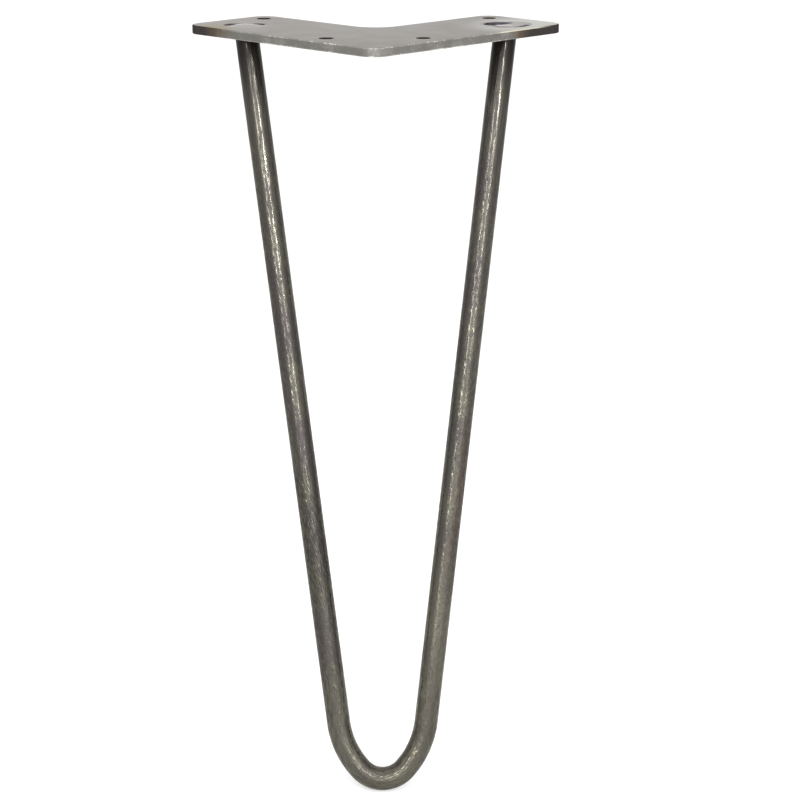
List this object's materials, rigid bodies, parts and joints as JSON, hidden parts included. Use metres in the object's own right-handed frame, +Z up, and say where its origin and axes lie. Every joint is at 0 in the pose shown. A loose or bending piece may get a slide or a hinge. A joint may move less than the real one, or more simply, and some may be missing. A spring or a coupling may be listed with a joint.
{
  "type": "hairpin table leg",
  "caption": "Hairpin furniture leg: a round steel bar bent to a splayed V with a rounded foot, plug-welded into an L-shaped screw plate that fixes under the corner of a tabletop.",
  "frame": {"origin": "on the plate's top face, midway between the two screw holes nearest the heel", "axes": "+Z up into the tabletop, -Y out past the plate's outer corner on its line of symmetry, X across the hairpin"},
  "size_m": [0.147, 0.101, 0.305],
  "materials": {
    "plate_steel": "bare, linished, satin",
    "bar_steel": "bare drawn bar, dark and streaked",
    "weld_metal": "ground back, dull"
  },
  "bodies": {
    "root": {"top_plate": "plate_steel", "hairpin_rod": "bar_steel", "left_plug_weld": "weld_metal", "right_plug_weld": "weld_metal"}
  },
  "joints": []
}
